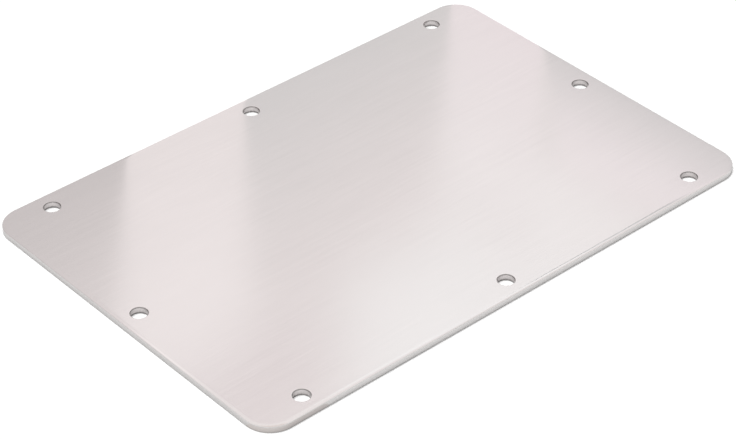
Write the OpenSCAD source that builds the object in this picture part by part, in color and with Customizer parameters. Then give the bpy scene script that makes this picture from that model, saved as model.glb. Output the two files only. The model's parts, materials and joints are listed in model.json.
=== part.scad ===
// Rectangular cover plate: a flat sheet blank with rounded corners and eight plain
// screw holes round its border. Its upper edge is rolled over in a wide, shallow oval
// and its lower edge is only deburred.
// Frame: X along the length, Y across, Z up. The origin is the centre of the underside.

/* [Plate] */
// Length of the plate, along X
plate_l = 250; // [160:1:400]
// Width of the plate, along Y
plate_w = 170; // [110:1:300]
// Thickness of the sheet
sheet_t = 3; // [2:0.5:6]
// Radius of the four corners, seen from above
corner_r = 11.5; // [5:0.5:16]

/* [Outer edge] */
// How far in from the edge the upper face begins to roll over
roll_w = 1.8; // [0.5:0.1:3]
// How far the roll-over drops before the edge stands upright
roll_h = 0.6; // [0.3:0.1:1.2]
// Radius that the lower edge is deburred to
deburr_r = 0.2; // [0.1:0.1:0.5]

/* [Screw holes] */
// Diameter of each hole
hole_d = 7; // [4:0.5:9]
// Radius that the upper rims of the holes are rounded to
rim_r = 0.3; // [0.1:0.1:0.8]
// From each edge to the centres of the holes that stand nearest to it
edge_inset = 8.5; // [8.5:0.5:14]
// From each short edge to the centres of the four corner holes
corner_inset = 23.5; // [18:0.5:40]

/* [Hidden] */
$fn = 96;

// How far a cutter runs past the face that it cuts
overrun = 1;
// Where the hole rows stand, from the plate's centre
end_row_x = plate_l / 2 - edge_inset;
side_row_y = plate_w / 2 - edge_inset;
corner_hole_x = plate_l / 2 - corner_inset;
// Centres of the corner rounds, from the plate's centre
corner_x = plate_l / 2 - corner_r;
corner_y = plate_w / 2 - corner_r;
// Hole centres: four near the corners, then the middle of each side
hole_places = [
    [-corner_hole_x, -side_row_y], [corner_hole_x, -side_row_y],
    [-corner_hole_x, side_row_y], [corner_hole_x, side_row_y],
    [0, -side_row_y], [0, side_row_y],
    [-end_row_x, 0], [end_row_x, 0]
];

// What rounding an arris takes off, outwards and upwards of its oval's centre: the oval
// reaches w across and h up.
module arris_waste(w, h) {
    difference() {
        square([w + overrun, h + overrun]);
        scale([w, h]) circle(r = 1);
    }
}

// Half section of the sheet: from a corner's centre out to its rolled-over upper edge
// and its deburred lower one.
module edge_section() {
    difference() {
        square([corner_r, sheet_t]);
        translate([corner_r - roll_w, sheet_t - roll_h]) arris_waste(roll_w, roll_h);
        translate([corner_r - deburr_r, deburr_r]) mirror([0, 1]) arris_waste(deburr_r, deburr_r);
    }
}

// A quarter of the sheet's round corner, swept about the corner's centre.
module corner() {
    rotate_extrude(angle = 90) edge_section();
}

// The edge strip of one straight side of length run, along +X, with its outer edge at -Y.
module side(run) {
    rotate([90, 0, 90]) mirror([1, 0]) linear_extrude(run) edge_section();
}

// The sheet before it is drilled.
module blank() {
    translate([-corner_x, -corner_y, 0]) cube([2 * corner_x, 2 * corner_y, sheet_t]);
    for (turn = [0, 1]) {
        rotate(180 * turn) {
            translate([corner_x, corner_y, 0]) corner();
            translate([-corner_x, corner_y, 0]) rotate(90) corner();
            translate([-corner_x, -corner_y, 0]) side(2 * corner_x);
            translate([corner_x, -corner_y, 0]) rotate(90) side(2 * corner_y);
        }
    }
}

// Half section of the drill: the bore, its rounded upper rim and its deburred lower one.
module drill_section() {
    bore_r = hole_d / 2;
    translate([0, -overrun]) square([bore_r, sheet_t + 2 * overrun]);
    translate([bore_r + rim_r, sheet_t - rim_r]) mirror([1, 0]) arris_waste(rim_r, rim_r);
    translate([bore_r + deburr_r, deburr_r]) rotate(180) arris_waste(deburr_r, deburr_r);
}

// One drilled and deburred screw hole, standing on the origin.
module drilled_hole() {
    rotate_extrude() drill_section();
}

module cover_plate() {
    color("gainsboro") difference() {
        blank();
        for (place = hole_places) translate(place) drilled_hole();
    }
}

cover_plate();
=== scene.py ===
"""Looks of the rectangular cover plate: a satin steel sheet lying on a pale studio floor."""
import json
import math

import bpy
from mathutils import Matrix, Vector


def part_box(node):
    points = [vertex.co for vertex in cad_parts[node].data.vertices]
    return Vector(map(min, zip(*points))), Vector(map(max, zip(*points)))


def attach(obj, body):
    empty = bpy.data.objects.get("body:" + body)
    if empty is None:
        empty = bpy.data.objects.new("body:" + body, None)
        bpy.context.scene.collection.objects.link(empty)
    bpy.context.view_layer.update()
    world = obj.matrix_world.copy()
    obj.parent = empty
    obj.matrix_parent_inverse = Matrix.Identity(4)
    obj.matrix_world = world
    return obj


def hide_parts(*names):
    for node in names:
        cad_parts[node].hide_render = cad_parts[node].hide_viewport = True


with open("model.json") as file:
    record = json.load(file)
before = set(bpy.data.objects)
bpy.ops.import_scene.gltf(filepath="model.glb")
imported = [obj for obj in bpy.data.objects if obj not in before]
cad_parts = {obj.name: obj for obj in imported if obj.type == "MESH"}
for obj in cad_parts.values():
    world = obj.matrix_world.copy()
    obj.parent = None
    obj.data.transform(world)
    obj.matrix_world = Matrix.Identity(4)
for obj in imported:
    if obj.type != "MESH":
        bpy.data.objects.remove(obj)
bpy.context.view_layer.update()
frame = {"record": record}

PLATE_LOW, PLATE_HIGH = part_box("cover_plate")
LENGTH, WIDTH, THICKNESS = PLATE_HIGH - PLATE_LOW
MM = 0.001
SCREWS = {mount["name"]: mount["dims"] for mount in frame["record"]["mounts"]}
SHEET_SIZES = {
    "Length": LENGTH,
    "Width": WIDTH,
    "Thickness": THICKNESS,
    "Corner Radius": 11.5 * MM,
    "Roll Width": 1.8 * MM,
    "Roll Depth": 0.6 * MM,
    "Deburring": 0.2 * MM,
    "Hole Radius": SCREWS["corner_screws"]["hole_r_mm"] * MM,
    "Rim Rounding": 0.3 * MM,
    "Corner Holes X": SCREWS["corner_screws"]["spacing_x_mm"] * MM,
    "Side Rows Y": SCREWS["side_screws"]["spacing_y_mm"] * MM,
    "End Rows X": SCREWS["end_screws"]["spacing_x_mm"] * MM,
}
# Flat strip that each rounded edge carries, so that the faces beside it shade as flat
LAND = 0.3 * MM
# Points closer together than this are one
WELD = 0.002 * MM
# How many points each curve is made with: the sheet's corners, its roll-over, the holes and their rims
CORNER_STEPS = 24
ROLL_STEPS = 17
HOLE_STEPS = 96
RIM_STEPS = 7
# The floor lies a hair below the sheet
FLOOR_Z = -0.05 * MM


# ---------------------------------------------------------------- node helpers
def add_node(tree, kind, inputs=None, **settings):
    """One node, with its settings, and its inputs given as values or as sockets to link from."""
    node = tree.nodes.new(kind)
    for name, value in settings.items():
        setattr(node, name, value)
    for key, value in (inputs or {}).items():
        if isinstance(value, bpy.types.NodeSocket):
            tree.links.new(value, node.inputs[key])
        else:
            node.inputs[key].default_value = value
    return node


def math_node(tree, operation, *values):
    """The result of one scalar operation on values or sockets."""
    return add_node(tree, "ShaderNodeMath", dict(enumerate(values)), operation=operation).outputs[0]


def point_node(tree, x=0.0, y=0.0, z=0.0):
    """A vector made of three values or sockets."""
    return add_node(tree, "ShaderNodeCombineXYZ", {"X": x, "Y": y, "Z": z}).outputs[0]


def start_group(name, kind, inputs, outputs):
    """An empty node group with named sockets: the group, its inputs and its output node."""
    tree = bpy.data.node_groups.new(name, kind)
    for direction, sockets in (("INPUT", inputs), ("OUTPUT", outputs)):
        for socket_name, socket_kind in sockets.items():
            socket_type = "NodeSocket" + socket_kind
            tree.interface.new_socket(socket_name, in_out=direction, socket_type=socket_type)
    return tree, add_node(tree, "NodeGroupInput").outputs, add_node(tree, "NodeGroupOutput")


def use_group(tree, group, inputs):
    """The outputs of a node that runs a group, with its named inputs as values or sockets."""
    kind = "GeometryNodeGroup" if group.type == "GEOMETRY" else "ShaderNodeGroup"
    return add_node(tree, kind, inputs, node_tree=group).outputs


def mix_node(tree, factor, start, stop):
    """A value between two values or sockets."""
    mixed = add_node(tree, "ShaderNodeMix", {"Factor": factor, 2: start, 3: stop}, data_type="FLOAT")
    return mixed.outputs[0]


def tone_node(tree, factor, start, stop):
    """A colour between two colours or sockets."""
    mixed = add_node(tree, "ShaderNodeMix", {"Factor": factor, 6: start, 7: stop}, data_type="RGBA")
    return mixed.outputs[2]


def range_node(tree, value, low, high, start, stop):
    """A value that goes from start to stop while another goes from low to high."""
    return add_node(tree, "ShaderNodeMapRange", {0: value, 1: low, 2: high, 3: start, 4: stop}).outputs[0]


def join_node(tree, *parts):
    """Several geometries as one."""
    node = add_node(tree, "GeometryNodeJoinGeometry")
    for part in reversed(parts):
        tree.links.new(part, node.inputs[0])
    return node.outputs[0]


# ---------------------------------------------------------------- the sheet's shape
def section_line(tree, start, end):
    """A straight stretch of a section."""
    return add_node(tree, "GeometryNodeCurvePrimitiveLine", {"Start": start, "End": end}).outputs[0]


def section_bend(tree, centre, across, up, first_angle, steps):
    """A quarter turn of an oval, as a stretch of a section."""
    turn = add_node(tree, "GeometryNodeCurveArc", {
        "Radius": 1.0, "Resolution": steps,
        "Start Angle": math.radians(first_angle), "Sweep Angle": math.radians(90)})
    return add_node(tree, "GeometryNodeTransform", {
        "Geometry": turn.outputs[0], "Translation": centre,
        "Scale": point_node(tree, across, up, 1.0)}).outputs[0]


def edge_wall_group():
    """The wall along a closed path, with the sheet on its left: rolled over above, deburred below."""
    tree, given, end = start_group(
        "edge_wall", "GeometryNodeTree",
        {"Path": "Geometry", "Thickness": "Float", "Roll Width": "Float", "Roll Depth": "Float",
         "Deburring": "Float", "Steps": "Int", "Mark": "String"},
        {"Wall": "Geometry"})
    # The section is drawn with X out of the sheet and Y down, as a swept section is laid
    thickness, width, depth, deburring = (
        given[name] for name in ("Thickness", "Roll Width", "Roll Depth", "Deburring"))
    top = math_node(tree, "MULTIPLY", thickness, -1.0)
    roll_x = math_node(tree, "MULTIPLY", width, -1.0)
    roll_y = math_node(tree, "ADD", top, depth)
    low_x = math_node(tree, "MULTIPLY", deburring, -1.0)
    stretches = (
        section_line(tree, point_node(tree, math_node(tree, "SUBTRACT", roll_x, LAND), top),
                     point_node(tree, roll_x, top)),
        section_bend(tree, point_node(tree, roll_x, roll_y), width, depth, -90, given["Steps"]),
        section_line(tree, point_node(tree, 0.0, roll_y), point_node(tree, 0.0, low_x)),
        section_bend(tree, point_node(tree, low_x, low_x), deburring, deburring, 0, given["Steps"]),
        section_line(tree, point_node(tree, low_x, 0.0),
                     point_node(tree, math_node(tree, "SUBTRACT", low_x, LAND), 0.0)),
    )
    swept = add_node(tree, "GeometryNodeCurveToMesh", {
        "Curve": given["Path"], "Profile Curve": join_node(tree, *stretches)})
    wall = add_node(tree, "GeometryNodeMergeByDistance", {
        "Geometry": swept.outputs[0], "Distance": WELD})
    # The mark is how far the wall leans from the faces: 0 on them and 1 where it stands upright
    level = add_node(tree, "ShaderNodeVectorMath", {
        0: add_node(tree, "GeometryNodeInputNormal").outputs[0], 1: (1.0, 1.0, 0.0)}, operation="MULTIPLY")
    lean = add_node(tree, "ShaderNodeVectorMath", {0: level.outputs[0]}, operation="LENGTH")
    marked = add_node(tree, "GeometryNodeStoreNamedAttribute", {
        "Geometry": wall.outputs[0], "Name": given["Mark"], "Value": lean.outputs["Value"]},
        data_type="FLOAT", domain="POINT")
    tree.links.new(marked.outputs[0], end.inputs["Wall"])
    return tree


def hole_centres(tree, size):
    """The points where the eight screw holes stand."""
    corners = add_node(tree, "GeometryNodeMeshGrid", {
        "Size X": size["Corner Holes X"], "Size Y": size["Side Rows Y"],
        "Vertices X": 2, "Vertices Y": 2})
    half_rows = math_node(tree, "MULTIPLY", size["Side Rows Y"], -0.5)
    half_ends = math_node(tree, "MULTIPLY", size["End Rows X"], -0.5)
    sides = add_node(tree, "GeometryNodeMeshLine", {
        "Count": 2, "Start Location": point_node(tree, 0.0, half_rows),
        "Offset": point_node(tree, 0.0, size["Side Rows Y"])})
    ends = add_node(tree, "GeometryNodeMeshLine", {
        "Count": 2, "Start Location": point_node(tree, half_ends),
        "Offset": point_node(tree, size["End Rows X"])})
    return join_node(tree, corners.outputs["Mesh"], sides.outputs[0], ends.outputs[0])


def sheet_tree():
    """A flat sheet with rounded corners and edges, drilled with eight deburred screw holes."""
    tree, size, end = start_group(
        "drilled_sheet", "GeometryNodeTree",
        {name: "Float" for name in SHEET_SIZES} | {"Finish": "Material"}, {"Sheet": "Geometry"})
    edge_wall = edge_wall_group()
    blank = add_node(tree, "GeometryNodeCurvePrimitiveQuadrilateral", {
        "Width": size["Length"], "Height": size["Width"]}, mode="RECTANGLE")
    outline = add_node(tree, "GeometryNodeFilletCurve", {
        "Curve": blank.outputs[0], "Radius": size["Corner Radius"], "Count": CORNER_STEPS}, mode="POLY")
    rim = use_group(tree, edge_wall, {
        "Path": outline.outputs[0], "Thickness": size["Thickness"], "Roll Width": size["Roll Width"],
        "Roll Depth": size["Roll Depth"], "Deburring": size["Deburring"], "Steps": ROLL_STEPS,
        "Mark": "edge_lean"})["Wall"]
    circle = add_node(tree, "GeometryNodeCurvePrimitiveCircle", {
        "Resolution": HOLE_STEPS, "Radius": size["Hole Radius"]}, mode="RADIUS")
    turned = add_node(tree, "GeometryNodeReverseCurve", {"Curve": circle.outputs[0]})
    bore = use_group(tree, edge_wall, {
        "Path": turned.outputs[0], "Thickness": size["Thickness"], "Roll Width": size["Rim Rounding"],
        "Roll Depth": size["Rim Rounding"], "Deburring": size["Deburring"], "Steps": RIM_STEPS,
        "Mark": "bore_lean"})["Wall"]
    bores = add_node(tree, "GeometryNodeInstanceOnPoints", {
        "Points": hole_centres(tree, size), "Instance": bore})
    plain_bores = add_node(tree, "GeometryNodeRealizeInstances", {0: bores.outputs[0]})
    walls = join_node(tree, rim, plain_bores.outputs[0])

    # Each face fills the plan between the walls' open edges on its side
    place = add_node(tree, "GeometryNodeInputPosition").outputs[0]
    height = add_node(tree, "ShaderNodeSeparateXYZ", {0: place}).outputs["Z"]
    half = math_node(tree, "MULTIPLY", size["Thickness"], 0.5)
    neighbours = add_node(tree, "GeometryNodeInputMeshEdgeNeighbors").outputs[0]
    is_open = math_node(tree, "LESS_THAN", neighbours, 1.5)
    filled = []
    for side in ("GREATER_THAN", "LESS_THAN"):
        on_side = math_node(tree, side, height, half)
        plan = add_node(tree, "GeometryNodeMeshToCurve", {
            "Mesh": walls, "Selection": math_node(tree, "MULTIPLY", on_side, is_open)})
        face = add_node(tree, "GeometryNodeFillCurve", {"Curve": plan.outputs[0]}, mode="TRIANGLES")
        filled.append(face.outputs[0])
    upper_face = add_node(tree, "GeometryNodeTransform", {
        "Geometry": filled[0], "Translation": point_node(tree, 0.0, 0.0, size["Thickness"])})
    lower_face = add_node(tree, "GeometryNodeFlipFaces", {"Mesh": filled[1]})
    sheet = join_node(tree, walls, upper_face.outputs[0], lower_face.outputs[0])
    welded = add_node(tree, "GeometryNodeMergeByDistance", {"Geometry": sheet, "Distance": WELD})
    smooth = add_node(tree, "GeometryNodeSetShadeSmooth", {
        "Geometry": welded.outputs[0], "Shade Smooth": True})
    plain = add_node(tree, "GeometryNodeRealizeInstances", {0: smooth.outputs[0]})
    finished = add_node(tree, "GeometryNodeSetMaterial", {
        "Geometry": plain.outputs[0], "Material": size["Finish"]})
    tree.links.new(finished.outputs[0], end.inputs["Sheet"])
    return tree


def make_sheet(finish):
    """The drilled sheet as a plain mesh piece."""
    tree = sheet_tree()
    maker = bpy.data.objects.new("sheet_maker", bpy.data.meshes.new("sheet_maker"))
    bpy.context.scene.collection.objects.link(maker)
    modifier = maker.modifiers.new("drilled_sheet", "NODES")
    modifier.node_group = tree
    for socket in tree.interface.items_tree:
        if socket.in_out == "INPUT":
            modifier[socket.identifier] = finish if socket.name == "Finish" else SHEET_SIZES[socket.name]
    made = maker.evaluated_get(bpy.context.evaluated_depsgraph_get())
    mesh = bpy.data.meshes.new_from_object(made)
    mesh.name = "steel_sheet"
    mesh.materials.clear()
    mesh.materials.append(finish)
    mesh.polygons.foreach_set("material_index", [0] * len(mesh.polygons))
    bpy.data.objects.remove(maker)
    piece = bpy.data.objects.new("steel_sheet", mesh)
    bpy.context.scene.collection.objects.link(piece)
    return piece


# ---------------------------------------------------------------- finishes
# The steel's tones and roughness on its rolled faces, over its edge, on its cut walls and in its bores
FACE_TONE = (0.79, 0.775, 0.77, 1.0)
CUT_TONE = (0.64, 0.625, 0.618, 1.0)
BORE_TONE = (0.68, 0.645, 0.64, 1.0)
# Painted shade for the bores: the dark line at their rim and the dark foot where they meet the floor
BORE_SHADE_TONE = (0.26, 0.245, 0.24, 1.0)
FACE_ROUGHNESS = 0.24
ROLLED_ROUGHNESS = 0.18
CUT_ROUGHNESS = 0.32


def start_material(name):
    """An empty material: its node tree and its output node."""
    material = bpy.data.materials.new(name)
    material.use_nodes = True
    material.node_tree.nodes.clear()
    return material, material.node_tree, add_node(material.node_tree, "ShaderNodeOutputMaterial")


def rolled_grain_group():
    """Fine rolled grain along the sheet: a height for bump and a slow drift of tone."""
    tree, given, end = start_group(
        "rolled_grain", "ShaderNodeTree", {"Fineness": "Float"}, {"Height": "Float", "Drift": "Float"})
    place = add_node(tree, "ShaderNodeTexCoord").outputs["Object"]
    # The grain is drawn out along the sheet's length
    drawn = add_node(tree, "ShaderNodeVectorMath", {0: place, 1: (0.04, 1.0, 1.0)}, operation="MULTIPLY")
    grain = add_node(tree, "ShaderNodeTexNoise", {
        "Vector": drawn.outputs[0], "Scale": given["Fineness"], "Detail": 4.0, "Roughness": 0.6})
    drift = add_node(tree, "ShaderNodeTexNoise", {"Vector": place, "Scale": 30.0, "Detail": 2.0})
    tree.links.new(grain.outputs[0], end.inputs["Height"])
    tree.links.new(drift.outputs[0], end.inputs["Drift"])
    return tree


def satin_steel():
    """Satin stainless sheet: bright rolled faces, smoother rolled-over edges, dull cut walls and bores, with
    painted shade at the bores' rims and feet.
    """
    material, tree, end = start_material("satin_stainless")
    edge = add_node(tree, "ShaderNodeAttribute", attribute_name="edge_lean").outputs["Fac"]
    bore = add_node(tree, "ShaderNodeAttribute", attribute_name="bore_lean").outputs["Fac"]
    place = add_node(tree, "ShaderNodeTexCoord").outputs["Object"]
    height = add_node(tree, "ShaderNodeSeparateXYZ", {0: place}).outputs["Z"]
    grain = use_group(tree, rolled_grain_group(), {"Fineness": 900.0})

    # The outer edge: smooth where it rolls over, duller down the cut wall
    rolled = range_node(tree, edge, 0.01, 0.06, 0.0, 1.0)
    cut = range_node(tree, edge, 0.45, 0.98, 0.0, 1.0)
    edge_tone = tone_node(tree, cut, FACE_TONE, CUT_TONE)

    # The bores: a painted dark line of shade at the rim, a bright land below it, and painted shade at the
    # foot, where the bore meets the floor
    wall = range_node(tree, bore, 0.45, 0.9, 0.0, 1.0)
    # Painted shade at the foot: darker towards the bottom, its upper edge wobbled by noise
    foot_wobble = add_node(tree, "ShaderNodeTexNoise", {"Vector": place, "Scale": 1800.0, "Detail": 2.0}).outputs[0]
    wavy = math_node(tree, "MULTIPLY_ADD", math_node(tree, "SUBTRACT", foot_wobble, 0.5), 1.2 * MM, height)
    foot = range_node(tree, wavy, 0.2 * MM, 0.9 * MM, 1.0, 0.0)
    # Painted shade: a dark line near the top of the bore, under its rim
    rim = range_node(tree, height, 2.3 * MM, 2.7 * MM, 0.0, 0.8)
    bore_tone_and_shade = tone_node(tree, math_node(tree, "MAXIMUM", foot, rim), BORE_TONE, BORE_SHADE_TONE)
    tone = tone_node(tree, wall, edge_tone, bore_tone_and_shade)
    smoothed = mix_node(tree, rolled, FACE_ROUGHNESS, ROLLED_ROUGHNESS)
    rough = mix_node(tree, math_node(tree, "MAXIMUM", cut, wall), smoothed, CUT_ROUGHNESS)

    # Rolled grain: fine streaks along the sheet that lift its surface and vary its tone and its sheen
    streak = math_node(tree, "SUBTRACT", grain["Height"], 0.5)
    patch = math_node(tree, "SUBTRACT", grain["Drift"], 0.5)
    shift = math_node(tree, "MULTIPLY_ADD", streak, 0.07, math_node(tree, "MULTIPLY", patch, 0.03))
    grained = add_node(tree, "ShaderNodeVectorMath", {
        0: tone, "Scale": math_node(tree, "ADD", shift, 1.0)}, operation="SCALE").outputs[0]
    drifted = math_node(tree, "MULTIPLY_ADD", patch, 0.03, rough)
    sheen = math_node(tree, "MULTIPLY_ADD", streak, 0.10, drifted)
    raised = add_node(tree, "ShaderNodeBump", {
        "Height": grain["Height"], "Distance": 0.002 * MM, "Strength": 0.5}).outputs[0]
    steel = add_node(tree, "ShaderNodeBsdfPrincipled", {
        "Metallic": 1.0, "Base Color": grained, "Roughness": sheen, "Normal": raised})
    tree.links.new(steel.outputs[0], end.inputs["Surface"])
    return material


# ---------------------------------------------------------------- studio
CAM_LENS = 125.0
CAM_PLACE = (-0.5433, -0.6195, 0.5989)
CAM_TURN = (53.486, 0.248, -41.294)
# The cards hang on two screens just behind the sheet: one along its far side, folded forward along its
# right end. Across is measured along the screens from the sheet's middle, and up from the floor, both in
# millimetres. Each card: across at its foot, across at its top, the heights of its foot and of its two top
# corners, and the light it gives at its foot and at its top.
SCREEN_GAP = 10
CARDS = {
    "back_cloth": ((-500, 520), (-500, 520), (0, 650, 650), (0.94, 0.89, 0.89), (1.04, 0.99, 0.98)),
    "left_grey_card": ((-300, -50), (-300, -70), (0, 120, 120), (0.70, 0.66, 0.66), (0.90, 0.84, 0.84)),
    "left_pale_card": ((-50, 10), (-70, 10), (0, 140, 140), (0.97, 0.91, 0.91), (1.10, 1.04, 1.04)),
    "middle_grey_card": ((10, 130), (10, 125), (0, 150, 130), (0.78, 0.76, 0.76), (0.95, 0.88, 0.88)),
    "fold_pale_card": ((130, 190), (120, 190), (0, 120, 120), (0.98, 0.90, 0.92), (1.06, 1.02, 1.02)),
    "right_grey_card": ((190, 320), (205, 310), (0, 65, 55), (0.74, 0.72, 0.72), (1.08, 1.00, 1.02)),
    "right_pale_card": ((190, 320), (190, 320), (70, 300, 300), (1.06, 1.02, 1.02), (1.10, 1.10, 1.10)),
    "high_grey_card": ((-50, 40), (-20, 70), (150, 250, 200), (0.84, 0.76, 0.78), (0.94, 0.86, 0.86)),
    "high_white_card": ((60, 210), (80, 240), (135, 320, 360), (1.08, 1.06, 1.06), (1.14, 1.14, 1.14)),
    "left_white_bar": ((-200, -80), (-200, -80), (120, 170, 170), (1.12, 1.06, 1.06), (1.16, 1.10, 1.10)),
    "lamp_bar": ((295, 305), (220, 290), (50, 190, 190), (0.70, 0.70, 0.70), (1.30, 1.30, 1.30)),
    "dark_strip": ((285, 290), (225, 245), (55, 180, 170), (0.30, 0.30, 0.30), (0.10, 0.10, 0.10)),
}
# Large pale flags that close the studio in front and on the left, from corner to corner
FLAGS = {
    "front_flag": ((-0.60, -0.45), (0.90, -0.45), 0.85),
    "right_front_flag": ((0.90, -0.45), (0.90, -0.41), 1.20),
    "left_flag": ((-0.65, -0.45), (-0.65, 0.10), 0.90),
}
FLAG_GLOW = (0.90, 0.90, 0.90)
# A warm cloth overhead, which only the near corner's rolled edge and the holes' far rims mirror
CEILING_CLOTH = ((-0.60, -0.60, 1.20), (0.35, -0.60, 1.20), (0.35, 0.35, 1.20), (-0.60, 0.35, 1.20))
CEILING_GLOW = (0.90, 0.82, 0.79)
# Painted shadow: a grey sheet on the floor round the near corner, in place of the sheet's shadow there,
# which only the cut wall there mirrors: how far each of its rings lies out from the sheet, in millimetres,
# and the light it gives at its left and right ends
CORNER_SHADOW_RINGS = {
    "foot": (-0.2, (0.36, 0.34, 0.33), (0.16, 0.15, 0.15)),
    "wall": (0.6, (0.86, 0.82, 0.80), (0.66, 0.63, 0.62)),
    "border": (6.0, (1.08, 1.02, 1.00), (1.08, 1.02, 1.00)),
}
# How far the painted shadow goes on along the sheet's front edge, in millimetres
CORNER_SHADOW_RUN = 18


def make_camera():
    """The camera, a long lens that looks down on the plate from beyond its near corner."""
    data = bpy.data.cameras.new("camera")
    data.sensor_width = 36.0
    data.lens = CAM_LENS
    data.clip_start, data.clip_end = 0.05, 20.0
    camera = bpy.data.objects.new("camera", data)
    camera.location = CAM_PLACE
    camera.rotation_euler = [math.radians(angle) for angle in CAM_TURN]
    bpy.context.scene.collection.objects.link(camera)
    bpy.context.scene.camera = camera


def make_panel(name, corners, material, glows=(), faces=None):
    """One flat panel of the studio, from its corners, with the light it gives at each of them."""
    mesh = bpy.data.meshes.new(name)
    mesh.from_pydata([tuple(corner) for corner in corners], [], faces or [tuple(range(len(corners)))])
    mesh.materials.append(material)
    if glows:
        colours = [value for glow in glows for value in (*glow, 1.0)]
        mesh.attributes.new("glow", "FLOAT_COLOR", "POINT").data.foreach_set("color", colours)
    panel = bpy.data.objects.new(name, mesh)
    bpy.context.scene.collection.objects.link(panel)
    return panel


def card_finish():
    """The studio cards: plain light that only polished surfaces mirror."""
    material, tree, end = start_material("studio_card")
    glow = add_node(tree, "ShaderNodeAttribute", attribute_name="glow").outputs["Color"]
    light = add_node(tree, "ShaderNodeEmission", {"Color": glow, "Strength": 1.0})
    tree.links.new(light.outputs[0], end.inputs["Surface"])
    return material


def folded(points, fold):
    """The parts of a card on either side of the screens' fold; each point is across, up and its light."""
    halves = []
    for side in (-1, 1):
        half = []
        for start, stop in zip(points, points[1:] + points[:1]):
            if (start[0] - fold) * side >= 0:
                half.append(start)
            if (start[0] - fold) * (stop[0] - fold) < 0:
                share = (fold - start[0]) / (stop[0] - start[0])
                half.append(start.lerp(stop, share))
        halves.append(half)
    return halves


def make_corner_shadow(finish):
    """The grey floor sheet of painted shadow that follows the near corner's round, and then the front edge
    for a little way.
    """
    round_off = SHEET_SIZES["Corner Radius"]
    centre = Vector((PLATE_LOW.x + round_off, PLATE_LOW.y + round_off, -0.02 * MM))
    steps = 16
    path = []
    for step in range(steps + 1):
        turn = math.radians(180 + 90 * step / steps)
        outward = Vector((math.cos(turn), math.sin(turn), 0.0))
        path.append((centre + outward * round_off, outward, step / steps))
    edge, outward, share = path[-1]
    path.append((edge + Vector((CORNER_SHADOW_RUN * MM, 0.0, 0.0)), outward, share))
    rings = len(CORNER_SHADOW_RINGS)
    corners, glows, faces = [], [], []
    for place, (edge, outward, share) in enumerate(path):
        for ring, (reach, left_glow, right_glow) in enumerate(CORNER_SHADOW_RINGS.values()):
            corners.append(edge + outward * reach * MM)
            glows.append(Vector(left_glow).lerp(Vector(right_glow), share ** 2))
            if place and ring:
                last = len(corners) - 1
                faces.append((last - rings - 1, last - rings, last, last - 1))
    return make_panel("near_corner_painted_shadow", corners, finish, glows, faces)


def make_cards():
    """Grey and white cards behind the sheet, which give its satin face soft bands of tone."""
    finish = card_finish()
    far_y = PLATE_HIGH.y + SCREEN_GAP * MM
    fold_x = PLATE_HIGH.x + SCREEN_GAP * MM
    panels = []
    for number, (name, card) in enumerate(CARDS.items()):
        foot, top, (low, high_left, high_right), low_glow, high_glow = card
        # Each card hangs a little in front of the one before
        ahead = 0.4 * MM * number
        points = [
            Vector((foot[0] * MM, low * MM, *low_glow)),
            Vector((foot[1] * MM, low * MM, *low_glow)),
            Vector((top[1] * MM, high_right * MM, *high_glow)),
            Vector((top[0] * MM, high_left * MM, *high_glow)),
        ]
        far_part, right_part = folded(points, fold_x)
        if len(far_part) > 2:
            corners = [(point[0], far_y - ahead, point[1]) for point in far_part]
            panels.append(make_panel(name, corners, finish, [point[2:] for point in far_part]))
        if len(right_part) > 2:
            corners = [(fold_x - ahead, far_y - (point[0] - fold_x), point[1]) for point in right_part]
            glows = [point[2:] for point in right_part]
            panels.append(make_panel(name + "_folded", corners, finish, glows))
    for name, (start, stop, height) in FLAGS.items():
        corners = [(*start, 0.0), (*stop, 0.0), (*stop, height), (*start, height)]
        panels.append(make_panel(name, corners, finish, [FLAG_GLOW] * 4))
    panels.append(make_panel("ceiling_cloth", CEILING_CLOTH, finish, [CEILING_GLOW] * 4))
    # The painted shadow on the floor round the near corner, mirrored only by the cut wall there
    panels.append(make_corner_shadow(finish))
    for panel in panels:
        panel.visible_camera = panel.visible_diffuse = panel.visible_transmission = False
        panel.visible_shadow = panel.visible_volume_scatter = False


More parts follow.
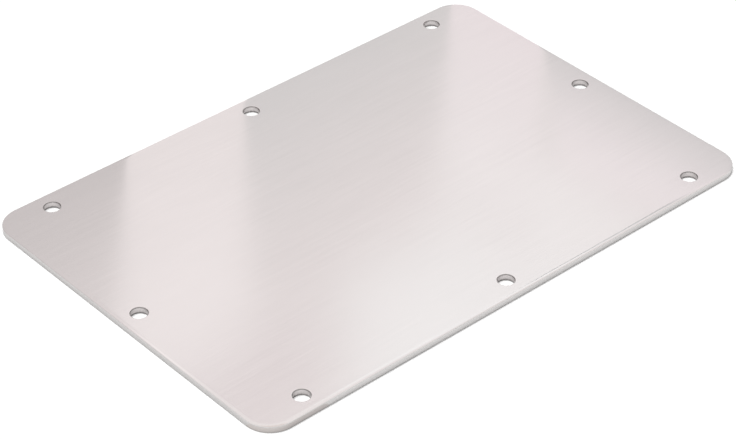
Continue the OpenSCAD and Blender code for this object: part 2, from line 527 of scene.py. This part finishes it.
def floor_finish():
    """Pale floor: white where it is seen or mirrored, and darker where the sheet stands close to it, as
    painted shade from ambient occlusion in its glow and, where mirrored, in its colour.
    """
    material, tree, end = start_material("pale_floor")
    path = add_node(tree, "ShaderNodeLightPath").outputs
    mirrored = math_node(tree, "MAXIMUM", path["Is Glossy Ray"], path["Is Transmission Ray"])
    # Painted shade: ambient occlusion near the sheet dims the floor's glow, tightly for what the camera sees
    # and more widely for what is mirrored
    thin_gap = add_node(tree, "ShaderNodeAmbientOcclusion", {"Distance": 0.3 * MM}, samples=8).outputs["AO"]
    near = add_node(tree, "ShaderNodeAmbientOcclusion", {"Distance": 3 * MM}, samples=16).outputs["AO"]
    shade = mix_node(tree, mirrored, thin_gap, near)
    seen = math_node(tree, "MAXIMUM", mirrored, path["Is Camera Ray"])
    # Painted shade: where mirrored, the floor's colour darkens close to the sheet
    dimmed = math_node(tree, "MULTIPLY", mirrored, math_node(tree, "SUBTRACT", 1.0, near))
    tone = tone_node(tree, dimmed, (0.8, 0.8, 0.8, 1.0), (0.30, 0.30, 0.30, 1.0))
    matt = add_node(tree, "ShaderNodeBsdfDiffuse", {"Color": tone})
    strength = math_node(tree, "MULTIPLY", math_node(tree, "MULTIPLY", shade, seen), 0.35)
    glow = add_node(tree, "ShaderNodeEmission", {"Color": (1.0, 1.0, 1.0, 1.0), "Strength": strength})
    lit = add_node(tree, "ShaderNodeAddShader", {0: matt.outputs[0], 1: glow.outputs[0]})
    # The floor lets light through from below, and where the sheet covers it, for the underside's sake
    covered = math_node(tree, "MULTIPLY", mirrored, math_node(tree, "LESS_THAN", near, 0.12))
    below = add_node(tree, "ShaderNodeNewGeometry").outputs["Backfacing"]
    clear = add_node(tree, "ShaderNodeBsdfTransparent")
    surface = add_node(tree, "ShaderNodeMixShader", {
        0: math_node(tree, "MAXIMUM", below, covered), 1: lit.outputs[0], 2: clear.outputs[0]})
    tree.links.new(surface.outputs[0], end.inputs["Surface"])
    return material


def make_lamp():
    """A broad lamp, high up beyond the sheet's far left corner, that lights what is matt."""
    data = bpy.data.lights.new("overhead_lamp", "SUN")
    data.energy = 1.9
    data.angle = math.radians(20)
    lamp = bpy.data.objects.new("overhead_lamp", data)
    lamp.rotation_euler = Vector((-0.12, 0.17, 1.0)).to_track_quat("Z", "Y").to_euler()
    lamp.visible_glossy = False
    bpy.context.scene.collection.objects.link(lamp)


def make_world():
    """White surroundings: a little brighter where they are mirrored, and soft on what is matt."""
    world = bpy.data.worlds.new("studio")
    world.use_nodes = True
    tree = world.node_tree
    tree.nodes.clear()
    path = add_node(tree, "ShaderNodeLightPath").outputs
    mirrored = math_node(tree, "MAXIMUM", path["Is Glossy Ray"], path["Is Transmission Ray"])
    soft = math_node(tree, "MULTIPLY_ADD", mirrored, 0.78, 0.3)
    strength = math_node(tree, "MULTIPLY_ADD", path["Is Camera Ray"], 0.7, soft)
    light = add_node(tree, "ShaderNodeBackground", {"Color": (1.0, 1.0, 1.0, 1.0), "Strength": strength})
    tree.links.new(light.outputs[0], add_node(tree, "ShaderNodeOutputWorld").inputs["Surface"])
    bpy.context.scene.world = world


# ---------------------------------------------------------------- the scene
sheet = make_sheet(satin_steel())
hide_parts("cover_plate")
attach(sheet, "root")

make_camera()
make_world()
make_lamp()
make_cards()
FLOOR_CORNERS = ((-4, -4, FLOOR_Z), (4, -4, FLOOR_Z), (4, 4, FLOOR_Z), (-4, 4, FLOOR_Z))
make_panel("floor", FLOOR_CORNERS, floor_finish())
bpy.context.scene.view_settings.view_transform = "Standard"
